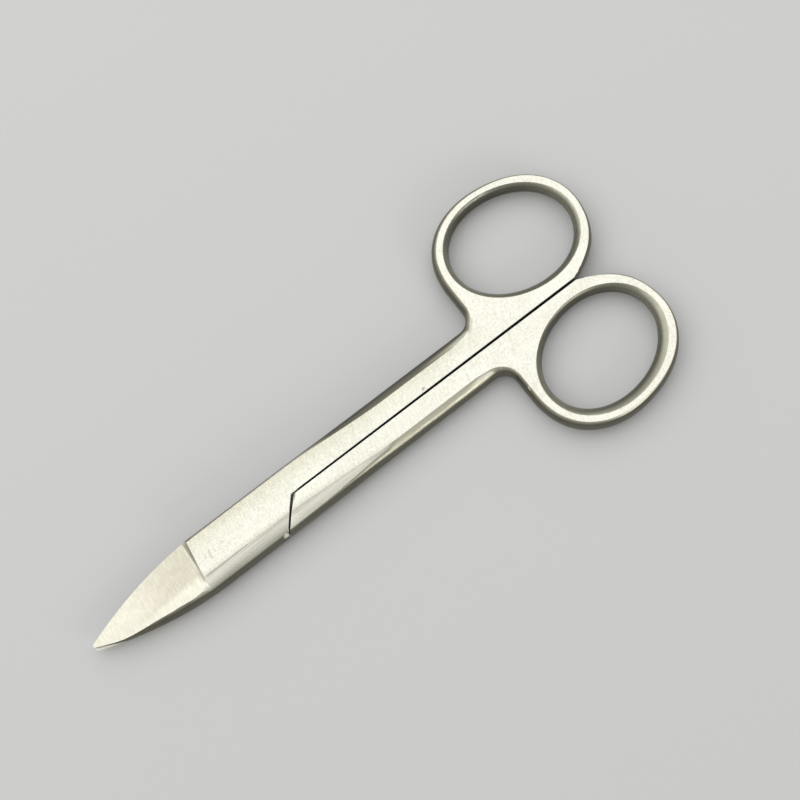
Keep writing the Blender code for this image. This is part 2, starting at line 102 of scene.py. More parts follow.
class Shader:
    """Adds nodes to a node tree and links them."""

    def __init__(self, tree: bpy.types.NodeTree) -> None:
        """Wraps a material's or a group's node tree."""
        self.tree = tree

    def add(self, kind: str, **settings: object) -> bpy.types.Node:
        """Adds a node.

        Args:
            kind: The node's type name.
            **settings: Its attributes.

        Returns:
            The new node.
        """
        node = self.tree.nodes.new(kind)
        for name, value in settings.items():
            setattr(node, name, value)
        return node

    def feed(self, target: Socket, value: Value) -> None:
        """Gives an input its value.

        Args:
            target: The input.
            value: An output to link it to, or a number or several to set it to.
        """
        if isinstance(value, Socket):
            self.tree.links.new(value, target)
        else:
            target.default_value = value

    def math(self, operation: str, first: Value, second: Value = 0.0) -> Socket:
        """Adds a Math node.

        Args:
            operation: Its operation.
            first: A socket or a number.
            second: A socket or a number.

        Returns:
            The node's output.
        """
        node = self.add("ShaderNodeMath", operation=operation)
        for target, value in zip(node.inputs, (first, second)):
            self.feed(target, value)
        return node.outputs[0]

    def vector(self, operation: str, first: Value, second: Value = (0.0,) * 3) -> bpy.types.Node:
        """Adds a Vector Math node.

        Args:
            operation: Its operation.
            first: A socket or three numbers.
            second: A socket, three numbers, or one number to scale by.

        Returns:
            The node.
        """
        node = self.add("ShaderNodeVectorMath", operation=operation)
        self.feed(node.inputs[0], first)
        self.feed(node.inputs["Scale"] if operation == "SCALE" else node.inputs[1], second)
        return node

    def scaled(self, vector: Socket, scale: Value) -> Socket:
        """Multiplies a vector by another, socket or numbers, axis by axis."""
        return self.vector("MULTIPLY", vector, scale).outputs["Vector"]

    def spread(
        self, value: Socket, low: Value, high: Value, onto: Pair = (0.0, 1.0), kind: str = "LINEAR"
    ) -> Socket:
        """Maps low..high onto another range and clamps it there.

        Args:
            value: The value.
            low: What becomes the first end, a socket or a number.
            high: What becomes the second end, a socket or a number.
            onto: The two ends.
            kind: The interpolation.

        Returns:
            The mapped value.
        """
        node = self.add("ShaderNodeMapRange", clamp=True, interpolation_type=kind)
        names = ("Value", "From Min", "From Max", "To Min", "To Max")
        for name, given in zip(names, (value, low, high, *onto)):
            self.feed(node.inputs[name], given)
        return node.outputs["Result"]

    def along(self, vector: Socket, axis: Axis) -> Socket:
        """Takes one component of a vector.

        Args:
            vector: The vector.
            axis: The component's axis.

        Returns:
            The component.
        """
        node = self.add("ShaderNodeSeparateXYZ")
        self.feed(node.inputs["Vector"], vector)
        return node.outputs[axis.value]

    def mix(self, first: Colour, second: Colour, share: Socket) -> Socket:
        """Mixes two colours.

        Args:
            first: The colour at 0.
            second: The colour at 1.
            share: How much of the second there is.

        Returns:
            The mixed colour.
        """
        node = self.add("ShaderNodeMix", data_type="RGBA")
        sockets = {socket.identifier: socket for socket in (*node.inputs, *node.outputs)}
        self.feed(sockets["Factor_Float"], share)
        self.feed(sockets["A_Color"], (*first, 1.0))
        self.feed(sockets["B_Color"], (*second, 1.0))
        return sockets["Result_Color"]

    def chain(self, operation: str, values: list[Socket]) -> Socket:
        """Chains a two-input Math operation over several values.

        Args:
            operation: MAXIMUM or ADD.
            values: The values, at least one.

        Returns:
            The result.
        """
        result = values[0]
        for value in values[1:]:
            result = self.math(operation, result, value)
        return result


@dataclass(frozen=True)
class Noise:
    """A noise whose usual range is stretched over the whole of another range."""

    size: Place = (1.0, 1.0, 1.0)
    detail: float = 1.0
    roughness: float = 0.5
    usual: Pair = (0.3, 0.7)

    def value(self, shader: Shader, place: Socket, onto: Pair = (0.0, 1.0)) -> Socket:
        """Adds the noise to a shader.

        Args:
            shader: The shader.
            place: Where it is read, in the units of its size.
            onto: The two ends of the other range.

        Returns:
            The noise, in that range.
        """
        node = shader.add("ShaderNodeTexNoise", noise_dimensions="3D")
        scaled = shader.scaled(place, tuple(1 / length for length in self.size))
        settings = {
            "Vector": scaled, "Scale": 1.0, "Detail": self.detail, "Roughness": self.roughness,
        }
        for name, value in settings.items():
            shader.feed(node.inputs[name], value)
        return shader.spread(node.outputs[0], *self.usual, onto=onto)


@dataclass(frozen=True)
class GrindingGrain:
    """The marks of a grinding belt, as a node group that every steel finish shares."""

    name: str = "grinding_grain"
    lines: Noise = Noise(detail=3.0, roughness=0.62, usual=(0.28, 0.72))
    mottle: Noise = Noise(size=(0.6 * MM,) * 3, detail=2.0)
    specks: Noise = Noise(size=(0.24 * MM,) * 3)
    clouds: Noise = Noise(size=(11.0 * MM, 2.6 * MM, 2.6 * MM))

    def group(self) -> bpy.types.NodeTree:
        """Returns the group, built the first time that it is asked for.

        Returns:
            A group with the inputs Place, Grain Vector and Grain Scale, and the outputs
            Lines, Mottle, Specks and Clouds, each from 0 to 1.
        """
        found = bpy.data.node_groups.get(self.name)
        if found:
            return found
        tree = bpy.data.node_groups.new(self.name, "ShaderNodeTree")
        for name in ("Place", "Grain Vector", "Grain Scale"):
            tree.interface.new_socket(name, in_out="INPUT", socket_type="NodeSocketVector")
        for name in ("Lines", "Mottle", "Specks", "Clouds"):
            tree.interface.new_socket(name, in_out="OUTPUT", socket_type="NodeSocketFloat")
        shader = Shader(tree)
        given = shader.add("NodeGroupInput").outputs
        made = shader.add("NodeGroupOutput").inputs
        grain = shader.scaled(given["Grain Vector"], given["Grain Scale"])
        shader.feed(made["Lines"], self.lines.value(shader, grain))
        shader.feed(made["Mottle"], self.mottle.value(shader, given["Place"]))
        shader.feed(made["Specks"], self.specks.value(shader, given["Place"]))
        shader.feed(made["Clouds"], self.clouds.value(shader, given["Place"]))
        return tree


@dataclass(frozen=True)
class Ramp:
    """A smooth rise along one axis of the object, from 0 at its start to 1 at its end."""

    axis: Axis
    start: float
    end: float

    def value(self, shader: Shader, place: Socket) -> Socket:
        """Adds the ramp to a shader, read from object coordinates."""
        reading = shader.along(place, self.axis)
        return shader.spread(reading, self.start, self.end, kind="SMOOTHSTEP")


@dataclass(frozen=True)
class BevelLine:
    """The long bevel's inner border, a slight curve across the flats."""

    inner_y: float = 1.85 * MM
    crest_x: float = -24.0 * MM
    radius: float = 333.0 * MM

    def outward(self, shader: Shader, place: Socket, across: Socket) -> Socket:
        """Adds the distance from the border to a shader.

        Args:
            shader: The shader.
            place: Object coordinates.
            across: How far out from the seam the place lies.

        Returns:
            The distance, above 0 on the bevel.
        """
        along = shader.math("SUBTRACT", shader.along(place, Axis.X), self.crest_x)
        sag = shader.math("DIVIDE", shader.math("MULTIPLY", along, along), 2 * self.radius)
        return shader.math("SUBTRACT", shader.math("SUBTRACT", across, sag), self.inner_y)


@dataclass(frozen=True)
class BorderRamp:
    """A smooth rise on the flat, from 0 at the long bevel's border to 1 some way inside it."""

    reach: float = 0.8 * MM
    line: BevelLine = BevelLine()

    def value(self, shader: Shader, place: Socket) -> Socket:
        """Adds the ramp to a shader.

        Args:
            shader: The shader.
            place: Object coordinates.

        Returns:
            The ramp's value.
        """
        across = shader.math("MULTIPLY", shader.along(place, Axis.Y), -1.0)
        outward = self.line.outward(shader, place, across)
        return shader.spread(outward, 0.0, -self.reach, kind="SMOOTHSTEP")


@dataclass(frozen=True)
class PaintedFaceShade:
    """Painted shade: a face painted duller where none of its ramps has risen."""

    low: Colour
    ramps: tuple[Ramp | BorderRamp, ...]

    def factor(self, shader: Shader, place: Socket) -> Socket:
        """Adds the fade to a shader, as what the colour is multiplied by."""
        risen = shader.chain("MAXIMUM", [ramp.value(shader, place) for ramp in self.ramps])
        return shader.mix(self.low, UNCHANGED, risen)


@dataclass(frozen=True)
class PaintedBevelShadeAndHighlight:
    """Painted shade and highlight across the long bevel, from its inner border to its outer edge.
    """

    width: float = 2.4 * MM
    wander: Noise = Noise(size=(6.0 * MM, 1.0 * MM, 1.0 * MM))
    wander_range: Pair = (-0.06, 0.06)
    line: BevelLine = BevelLine()
    stops: tuple[Pair, ...] = (
        (0.0, 0.74), (0.07, 0.70), (0.2, 0.86), (0.44, 0.98), (0.62, 0.96), (1.0, 0.68),
    )

    def factor(self, shader: Shader, place: Socket) -> Socket:
        """Adds the fade to a shader.

        Args:
            shader: The shader.
            place: Object coordinates.

        Returns:
            What the colour is multiplied by.
        """
        across = shader.math("ABSOLUTE", shader.along(place, Axis.Y))
        outward = self.line.outward(shader, place, across)
        wander = self.wander.value(shader, place, onto=self.wander_range)
        share = shader.math("ADD", shader.math("DIVIDE", outward, self.width), wander)
        ramp = shader.add("ShaderNodeValToRGB")
        ramp.color_ramp.interpolation = "EASE"
        points = ramp.color_ramp.elements
        for where, tone in self.stops[1:-1]:
            points.new(where).color = (tone, tone, tone, 1.0)
        for point, (_, tone) in ((points[0], self.stops[0]), (points[-1], self.stops[-1])):
            point.color = (tone, tone, tone, 1.0)
        shader.feed(ramp.inputs["Fac"], share)
        return ramp.outputs["Color"]


@dataclass(frozen=True)
class PaintedWallShade:
    """Painted shade: a side painted duller the more it leans one way."""

    low: float
    start: float = 0.11
    end: float = 0.36
    lean: Lean = Lean.UPRIGHT

    def factor(self, shader: Shader, place: Socket) -> Socket:
        """Adds the fade to a shader, as what the colour is multiplied by at any place."""
        reading = shader.add("ShaderNodeAttribute", attribute_name=self.lean.value)
        return shader.spread(reading.outputs["Fac"], self.start, self.end, onto=(1.0, self.low))


@dataclass(frozen=True)
class Mark:
    """A scratch, nick or pit, or with a depth below 0 a painted highlight or glint, as a stroke.

    The stroke is full in its core and gone at its width, which its taper narrows towards the
    end. Its places are given in the plane, and its height is that of the steel under it.
    """

    start: Pair
    end: Pair
    width: float = 0.12 * MM
    depth: float = 0.3
    height: float = 4.0 * MM
    taper: float = 0.0
    core_share: float = 0.25

    def factor(self, shader: Shader, place: Socket) -> Socket:
        """Adds the mark to a shader.

        Args:
            shader: The shader.
            place: Object coordinates.

        Returns:
            What the colour is multiplied by.
        """
        start = Vector((*self.start, self.height))
        along = Vector((*self.end, self.height)) - start
        offset = shader.vector("SUBTRACT", place, start).outputs["Vector"]
        reach = shader.vector("DOT_PRODUCT", offset, along).outputs["Value"]
        share = shader.spread(reach, 0.0, along.length_squared)
        nearest = shader.vector("SCALE", along, share).outputs["Vector"]
        away = shader.vector("DISTANCE", offset, nearest).outputs["Value"]
        narrowing = shader.math("MULTIPLY", share, self.taper * self.width)
        width = shader.math("SUBTRACT", self.width, narrowing)
        core = shader.math("MULTIPLY", width, self.core_share)
        return shader.spread(away, core, width, onto=(1.0 - self.depth, 1.0))


@dataclass(frozen=True)
class SteelFinish:
    """One finish of bare steel: its colour with painted shade and highlights, and how the belt or
    the lathe left it.
    """

    name: str
    dark: Colour
    light: Colour
    roughness: float
    roughness_spread: float = 0.08
    grain_angle: float = 0.0
    grain_length: float = 6.0 * MM
    grain_width: float = 0.25 * MM
    grain_depth: float = 3.0 * MICRON
    turned_about: Place | None = None
    lines_share: float = 0.3
    mottle_share: float = 0.2
    specks_share: float = 0.2
    clouds_share: float = 0.3
    fades: tuple[PaintedFaceShade | PaintedBevelShadeAndHighlight | PaintedWallShade | Mark, ...] = ()

    def material(self) -> bpy.types.Material:
        """Builds the finish.

        Returns:
            A material that reads Object coordinates.
        """
        material = bpy.data.materials.new(self.name)
        material.use_nodes = True
        shader = Shader(material.node_tree)
        place = shader.add("ShaderNodeTexCoord").outputs["Object"]
        grain = self.grain(shader, place)
        tone = self.tone(shader, grain)
        rough = (self.roughness + self.roughness_spread, self.roughness - self.roughness_spread)
        bump = shader.add("ShaderNodeBump")
        shader.feed(bump.inputs["Distance"], self.grain_depth)
        shader.feed(bump.inputs["Height"], grain["Lines"])

        surface = material.node_tree.nodes["Principled BSDF"].inputs
        shader.feed(surface["Metallic"], 1.0)
        shader.feed(surface["Base Color"], self.colour(shader, place, tone))
        shader.feed(surface["Roughness"], shader.spread(tone, 0.0, 1.0, onto=rough))
        shader.feed(surface["Normal"], bump.outputs["Normal"])
        return material

    def grain(self, shader: Shader, place: Socket) -> bpy.types.NodeOutputs:
        """Adds the grain to the shader.

        Args:
            shader: The shader.
            place: Object coordinates.

        Returns:
            The outputs Lines, Mottle, Specks and Clouds.
        """
        node = shader.add("ShaderNodeGroup", node_tree=GrindingGrain().group())
        across = 1 / self.grain_width
        shader.feed(node.inputs["Place"], place)
        shader.feed(node.inputs["Grain Vector"], self.grain_vector(shader, place))
        shader.feed(node.inputs["Grain Scale"], (1 / self.grain_length, across, across))
        return node.outputs

    def grain_vector(self, shader: Shader, place: Socket) -> Socket:
        """Adds the vector whose first axis runs along the grain.

        Args:
            shader: The shader.
            place: Object coordinates.

        Returns:
            The vector: turned about Z, or counted out from the axis of turning.
        """
        if self.turned_about is None:
            turn = shader.add("ShaderNodeMapping")
            shader.feed(turn.inputs["Rotation"], (0.0, 0.0, -self.grain_angle))
            shader.feed(turn.inputs["Vector"], place)
            return turn.outputs["Vector"]
        offset = shader.vector("SUBTRACT", place, self.turned_about).outputs["Vector"]
        across = shader.scaled(offset, (1.0, 1.0, 0.0))
        out = shader.add("ShaderNodeCombineXYZ")
        shader.feed(out.inputs["Y"], shader.vector("LENGTH", across).outputs["Value"])
        shader.feed(out.inputs["Z"], shader.along(place, Axis.Z))
        return out.outputs["Vector"]

    def tone(self, shader: Shader, grain: bpy.types.NodeOutputs) -> Socket:
        """Adds up the grain's layers, each by its share.

        Args:
            shader: The shader.
            grain: The grain's outputs.

        Returns:
            The tone, from 0 where the steel is dark to 1 where it is light.
        """
        shares = {
            "Lines": self.lines_share,
            "Mottle": self.mottle_share,
            "Specks": self.specks_share,
            "Clouds": self.clouds_share,
        }
        layers = [shader.math("MULTIPLY", grain[name], share) for name, share in shares.items()]
        return shader.chain("ADD", layers)

    def colour(self, shader: Shader, place: Socket, tone: Socket) -> Socket:
        """Adds the steel's colour, with its painted shade, painted highlights and marks.

        Args:
            shader: The shader.
            place: Object coordinates.
            tone: The tone.

        Returns:
            The colour.
        """
        seen = shader.mix(self.dark, self.light, tone)
        for fade in self.fades:
            seen = shader.scaled(seen, fade.factor(shader, place))
        return shader.vector("MINIMUM", seen, BRIGHTEST_STEEL).outputs["Vector"]


def in_mm(x: float, y: float) -> Pair:
    """Turns a place in millimetres into one in metres."""
    return (x * MM, y * MM)


BEFORE_RINGS = Ramp(Axis.X, 18.0 * MM, 27.0 * MM)
# The shoulder's foot, along which shade is painted on the facet and on the shoulder.
SHOULDER_FOOT = (in_mm(-29.6, 3.9), in_mm(-30.3, -2.0))

SEAM_PITS = (
    Mark(in_mm(13.1, 0.65), in_mm(13.35, 0.7), width=0.34 * MM, depth=0.85),
    Mark(in_mm(14.8, 0.5), in_mm(15.0, 0.55), width=0.2 * MM, depth=0.6),
)
NECK_PITS = (
    Mark(in_mm(25.3, 4.7), in_mm(24.1, 3.6), width=0.55 * MM, depth=0.5),
    Mark(in_mm(25.45, 4.3), in_mm(25.5, 4.1), width=0.32 * MM, depth=0.9),
    Mark(in_mm(25.0, 3.85), in_mm(25.1, 3.75), width=0.3 * MM, depth=0.9),
    Mark(in_mm(24.6, 3.45), in_mm(24.65, 3.35), width=0.3 * MM, depth=0.8),
    Mark(in_mm(24.0, 3.2), in_mm(24.15, 3.15), width=0.28 * MM, depth=0.8),
)
# Painted shade on the flat at the step's top corner, where the step meets the seam.
STEP_CORNER_PAINTED_SHADE = Mark(in_mm(-11.8, -0.2), in_mm(-12.5, -0.8), width=0.26 * MM, depth=0.9)
NECK_SCRATCHES = (
    Mark(in_mm(27.5, 0.5), in_mm(28.3, 1.2)),
    Mark(in_mm(25.9, 0.4), in_mm(26.4, 1.1)),
)
JOINT_SCRATCHES = (
    Mark(in_mm(-27.2, 0.9), in_mm(-27.4, -0.3), width=0.24 * MM, depth=0.22),
    Mark(in_mm(-28.0, 0.8), in_mm(-28.1, 0.3), width=0.3 * MM, depth=0.12),
    Mark(in_mm(-24.8, 0.9), in_mm(-24.7, 0.6), width=0.2 * MM, depth=0.18),
    Mark(in_mm(-26.5, 0.8), in_mm(-26.3, 0.2), width=0.14 * MM, depth=0.14),
)
RING_SCRATCH = Mark(in_mm(25.4, -9.5), in_mm(25.6, -9.1), width=0.22 * MM, depth=0.5)

# Painted shade along the long bevel's inner border, near the shoulder.
BEVEL_BORDER_PAINTED_SHADE = Mark(
    in_mm(-29.3, -2.04), in_mm(-22.0, -1.94), width=0.42 * MM, depth=0.24, taper=0.4
)
# Painted highlight along the shank's rounded edge on the +Y side.
SHANK_PAINTED_HIGHLIGHT = Mark(
    in_mm(23.2, 3.45), in_mm(8.0, 3.8), width=0.85 * MM, depth=-2.2, height=3.9 * MM, taper=0.9
)
# Painted highlight along the joint's rounded edge on the +Y side.
JOINT_PAINTED_HIGHLIGHT = Mark(
    in_mm(-3.0, 4.1), in_mm(-28.0, 4.2), width=0.5 * MM, depth=-0.9, height=3.9 * MM
)
# Painted glint at the outer foot of the step.
STEP_PAINTED_GLINT = Mark(
    in_mm(-16.45, -4.5), in_mm(-16.85, -4.75),
    width=0.62 * MM, depth=-6.0, height=3.1 * MM, taper=0.3,
)
# Painted highlights on the rounded edges at the rings' necks.
NECK_PAINTED_HIGHLIGHTS = (
    Mark(in_mm(25.0, 5.6), in_mm(24.7, 4.7), width=0.9 * MM, depth=-0.8, height=3.3 * MM),
    Mark(
        in_mm(21.6, -3.42), in_mm(16.5, -3.75),
        width=0.34 * MM, depth=-0.7, height=3.7 * MM, taper=0.3,
    ),
    Mark(
        in_mm(21.6, -3.42), in_mm(24.4, -4.2),
        width=0.34 * MM, depth=-0.9, height=3.7 * MM, taper=0.4,
    ),
)
# A nick on the lower ring's rounded edge, painted bright as a glint.
RING_NICK_PAINTED_GLINT = Mark(
    in_mm(25.77, -8.96), in_mm(25.55, -9.47),
    width=0.21 * MM, depth=-6.0, height=3.5 * MM, taper=0.3,
)


@dataclass(frozen=True)
class ForgingFinishes:
    """The finishes of a half, one for each kind of face."""

    flat: SteelFinish = SteelFinish(
        "flat_ground_steel", dark=(0.66, 0.65, 0.55), light=(0.98, 0.97, 0.87), roughness=0.34,
        grain_angle=math.radians(72), grain_length=1.6 * MM, grain_width=0.2 * MM,
        lines_share=0.35, mottle_share=0.15, specks_share=0.45, clouds_share=0.15,
        fades=(
            # Painted shade: the flats painted duller towards their +Y edge and next to the long
            # bevel, short of the rings.
            PaintedFaceShade((0.85, 0.84, 0.77), (Ramp(Axis.Y, 4.2 * MM, 0.4 * MM), BEFORE_RINGS)),
            PaintedFaceShade((0.87, 0.865, 0.84), (BorderRamp(), BEFORE_RINGS)),
            *SEAM_PITS,
            *NECK_PITS,
            STEP_CORNER_PAINTED_SHADE,
            *NECK_SCRATCHES,
            *JOINT_SCRATCHES,
            RING_SCRATCH,
        ),
    )
    facet: SteelFinish = SteelFinish(
        "facet_ground_steel", dark=(0.72, 0.69, 0.58), light=(0.97, 0.94, 0.80), roughness=0.36,
        grain_angle=math.radians(88), grain_length=7.0 * MM, grain_width=0.26 * MM,
        lines_share=0.6, mottle_share=0.1, specks_share=0.15, clouds_share=0.15,
        fades=(
            # Painted shade: the facet painted duller near the shoulder, except on its -Y side.
            PaintedFaceShade(
                (0.80, 0.79, 0.75),
                (Ramp(Axis.X, -31.0 * MM, -46.0 * MM), Ramp(Axis.Y, -0.6 * MM, -2.0 * MM)),
            ),
            # Painted shade along the shoulder's foot.
            Mark(*SHOULDER_FOOT, width=0.7 * MM, depth=0.25, height=3.7 * MM),
        ),
    )
    shoulder: SteelFinish = SteelFinish(
        "shoulder_ground_steel", dark=(0.78, 0.75, 0.63), light=(0.97, 0.94, 0.80),
        roughness=0.4, grain_angle=math.radians(88),
        # Painted shade along the shoulder's foot.
        fades=(Mark(*SHOULDER_FOOT, width=0.8 * MM, depth=0.4, height=3.7 * MM),),
    )
    long_bevel: SteelFinish = SteelFinish(
        "bevel_ground_steel", dark=(0.73, 0.71, 0.60), light=(0.99, 0.975, 0.86),
        roughness=0.28, grain_length=14.0 * MM, grain_width=0.26 * MM, lines_share=0.55,
        mottle_share=0.1, specks_share=0.15, clouds_share=0.2,
        # Painted shade and highlight across the bevel, and painted shade along its inner border.
        fades=(PaintedBevelShadeAndHighlight(), BEVEL_BORDER_PAINTED_SHADE),
    )
    side: SteelFinish = SteelFinish(
        "side_satin_steel", dark=(0.64, 0.615, 0.47), light=(0.95, 0.92, 0.72),
        roughness=0.32, grain_length=5.0 * MM, grain_width=0.35 * MM,
        fades=(
            # Painted shade: the sides painted darker the more upright they stand.
            PaintedWallShade(low=0.2),
            # Painted shade: the shank's side towards +Y painted darker, short of the joint and the
            # rings.
            PaintedFaceShade(
                (0.45, 0.45, 0.45),
                (Ramp(Axis.Y, 3.6 * MM, 0.0), Ramp(Axis.X, -2.0 * MM, -9.0 * MM), BEFORE_RINGS),
            ),
            # Painted highlights and glints on the sides' edges.
            SHANK_PAINTED_HIGHLIGHT,
            JOINT_PAINTED_HIGHLIGHT,
            STEP_PAINTED_GLINT,
            *NECK_PAINTED_HIGHLIGHTS,
            RING_NICK_PAINTED_GLINT,
        ),
    )
    # Painted shade: the finger holes' walls are painted darker than the outer sides, and darker
    # still the more upright they stand and the more they face along Y.
    hole: SteelFinish = SteelFinish(
        "hole_satin_steel_painted_shade", dark=(0.44, 0.43, 0.337), light=(0.65, 0.635, 0.505),
        roughness=0.34, grain_length=5.0 * MM, grain_width=0.35 * MM,
        fades=(
            PaintedWallShade(low=0.36, start=0.04, end=0.75),
            PaintedWallShade(low=0.5, start=0.3, end=0.9, lean=Lean.CROSSWISE),
        ),
    )
    # Painted shade: the walls of the seam and the step are painted dark for the shade in the gap
    # between the halves.
    gap_wall: SteelFinish = SteelFinish(
        "gap_wall_steel_painted_shade", dark=(0.24, 0.235, 0.20), light=(0.46, 0.45, 0.385),
        roughness=0.36, grain_length=5.0 * MM, grain_width=0.25 * MM,
    )
    lap: SteelFinish = SteelFinish(
        "lap_ground_steel", dark=(0.56, 0.545, 0.47), light=(0.82, 0.81, 0.72),
        roughness=0.33, grain_angle=math.radians(90), grain_length=8.0 * MM,
        grain_width=0.2 * MM,
    )
    # Painted shade: the steep faces of the seam's and step's rounded edges are painted near black
    # for the shade inside the gap.
    gap_edge: SteelFinish = SteelFinish(
        "gap_edge_steel_painted_shade", dark=(0.04, 0.038, 0.034), light=(0.10, 0.096, 0.084),
        roughness=0.5,
    )
    rim: SteelFinish = SteelFinish(
        "rim_polished_steel", dark=(0.86, 0.85, 0.76), light=(0.98, 0.97, 0.89),
        roughness=0.28, grain_length=3.0 * MM, grain_width=0.2 * MM,
    )

    def materials(self) -> list[bpy.types.Material]:
        """Builds the materials, one for each zone, in the order of the zones' values."""
        return [getattr(self, zone.name.lower()).material() for zone in Zone]


@dataclass(kw_only=True)
class SteelPiece:
    """A piece of steel, dressed from its own solid."""

    node: str
    body: str
    slot: str
    smooth_angle: float
    planar_angle: float = math.radians(0.3)
    weld: float = 1.0 * MICRON

    def form(self) -> bmesh.types.BMesh:
        """Reads the solid, its triangles joined where they lie in one plane.

        Returns:
            The solid's form, all of it shaded smooth.
        """
        form = bmesh.new()
        form.from_mesh(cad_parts[self.node].data)
        bmesh.ops.remove_doubles(form, verts=form.verts, dist=self.weld)
        bmesh.ops.dissolve_limit(
            form, angle_limit=self.planar_angle, verts=form.verts, edges=form.edges
        )
        form.normal_update()
        for face in form.faces:
            face.smooth = True
            face.material_index = 0
        return form

    def mesh(self, form: bmesh.types.BMesh) -> bpy.types.Mesh:
        """Turns a form into a mesh.

        Args:
            form: The form, which is freed.

        Returns:
            The mesh, without the solid's own corner normals.
        """
        data = bpy.data.meshes.new(self.node + "_dressed")
        form.to_mesh(data)
        form.free()
        data.attributes.remove(data.attributes["custom_normal"])
        return data

    def piece(
        self, data: bpy.types.Mesh, materials: list[bpy.types.Material]
    ) -> bpy.types.Object:
        """Makes the piece.

        Args:
            data: Its mesh.
            materials: Its finishes.

        Returns:
            The piece.
        """
        piece = bpy.data.objects.new(self.node + "_steel", data)
        bpy.context.scene.collection.objects.link(piece)
        for material in materials:
            data.materials.append(material)
        return piece

    def seat(self, piece: bpy.types.Object) -> None:
        """Seats the piece on its body, in place of its solid.

        Args:
            piece: The piece.
        """
        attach(piece, self.body)
        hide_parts(self.node)


@dataclass(kw_only=True)
class Half(SteelPiece):
    """One half of the scissors: blade, joint, shank and finger ring in one forging."""

    turned_over: bool
    slot: str = "ground_steel"
    joint_height: float = 2.0 * MM
    lap_height: float = 0.4 * MM
    shoulder_x: float = -29.8 * MM
    shoulder_reach: float = 1.6 * MM
    seam_reach: float = 0.6 * MM
    seam_ends: Pair = (-13.0 * MM, 44.0 * MM)
    step_reach: float = 4.4 * MM
    step_ends: Pair = (-17.6 * MM, -10.6 * MM)
    level_angle: float = math.radians(2.0)
    ground_angle: float = math.radians(13.0)
    upright_angle: float = math.radians(20.0)
    smooth_angle: float = math.radians(62.0)
    hole_centre: Pair = (37.9 * MM, 11.1 * MM)
    hole_reach: float = 11.6 * MM
    rim_width: float = 0.1 * MM
    rim_segments: int = 3
    rim_angle: float = math.radians(60.0)
    seam_rim_slope: float = math.radians(30.0)
    step_rim_slope: float = math.radians(60.0)

    def zone(self, face: bmesh.types.BMFace) -> Zone:
        """Tells what kind of face this is.

        Args:
            face: A face of the half's form.

        Returns:
            Its zone.
        """
        flip = -1.0 if self.turned_over else 1.0
        up = face.normal.z * flip
        across = face.normal.y * flip
        centre = face.calc_center_median()
        height = (centre.z - self.joint_height) * flip
        if abs(up) > math.cos(self.ground_angle):
            if abs(height) < self.lap_height:
                return Zone.LAP
            if abs(up) > math.cos(self.level_angle):
                return Zone.FLAT
            if up > 0 and across > 0 and centre.x < self.shoulder_x:
                return Zone.FACET
            return Zone.LONG_BEVEL
        if abs(up) < math.sin(self.upright_angle) and self.is_in_gap(centre):
            return Zone.GAP_WALL
        at_shoulder = abs(centre.x - self.shoulder_x) < self.shoulder_reach
        if at_shoulder and up > 0 and face.normal.x < -abs(face.normal.y):
            return Zone.SHOULDER
        inward = Vector((self.hole_centre[0], self.hole_centre[1] * flip)) - centre.xy
        if inward.length < self.hole_reach and inward.dot(face.normal.xy) > 0:
            return Zone.HOLE
        return Zone.SIDE

    def is_in_gap(self, place: Vector) -> bool:
        """Tells whether a place lies in the seam or at the step.

        Args:
            place: The place.

        Returns:
            True if it does.
        """
        aside = abs(place.y)
        in_seam = self.seam_ends[0] < place.x < self.seam_ends[1] and aside < self.seam_reach
        at_step = self.step_ends[0] < place.x < self.step_ends[1] and aside < self.step_reach
        return in_seam or at_step

    def break_gap_edges(self, form: bmesh.types.BMesh) -> None:
        """Rounds the edges of the seam and of the step, outwards bright and inwards in painted
        shade.

        Args:
            form: The half's form, its zones set.
        """
        edges = [
            edge
            for edge in form.edges
            if {Zone(face.material_index) for face in edge.link_faces}
            in ({Zone.FLAT, Zone.GAP_WALL}, {Zone.LONG_BEVEL, Zone.GAP_WALL})
            and edge.calc_face_angle(0.0) > self.rim_angle
        ]
        made = bmesh.ops.bevel(
            form, geom=edges, offset=self.rim_width, segments=self.rim_segments, profile=0.5,
            material=-1, affect="EDGES",
        )
        for face in made["faces"]:
            face.smooth = True
            in_seam = face.calc_center_median().x > self.step_ends[1]
            slope = self.seam_rim_slope if in_seam else self.step_rim_slope
            shallow = abs(face.normal.z) > math.cos(slope)
            face.material_index = (Zone.RIM if shallow else Zone.GAP_EDGE).value

    def is_crisp(self, edge: bmesh.types.BMEdge) -> bool:
        """Tells whether an edge stays sharp.

        Args:
            edge: An edge of the half's form.

        Returns:
            True where two ground faces meet, or where the metal turns a corner.
        """
        zones = {Zone(face.material_index) for face in edge.link_faces}
        return edge.calc_face_angle(0.0) > self.smooth_angle or (
            len(zones) > 1 and any(zone in PLANE_ZONES for zone in zones)
        )

    def dressed(self) -> bpy.types.Mesh:
        """Shapes the half from its solid.

        Returns:
            A mesh whose faces carry their zone as material index, and its corners their lean.
        """
        form = self.form()
        for face in form.faces:
            face.material_index = self.zone(face).value
        self.break_gap_edges(form)
        for edge in form.edges:
            edge.smooth = not self.is_crisp(edge)
        data = self.mesh(form)
        for lean in Lean:
            attribute = data.attributes.new(lean.value, "FLOAT", "CORNER")
            for value, corner in zip(attribute.data, data.corner_normals):
                value.value = lean.reading(corner.vector)
        return data

    def build(self, materials: list[bpy.types.Material]) -> bpy.types.Object:
        """Makes the piece and seats it on its body.

        Args:
            materials: The finishes, in the order of the zones' values.

        Returns:
            The piece.
        """
        piece = self.piece(self.dressed(), materials)
        shading = piece.modifiers.new("face_weighting", "WEIGHTED_NORMAL")
        shading.keep_sharp = True
        self.seat(piece)
        return piece


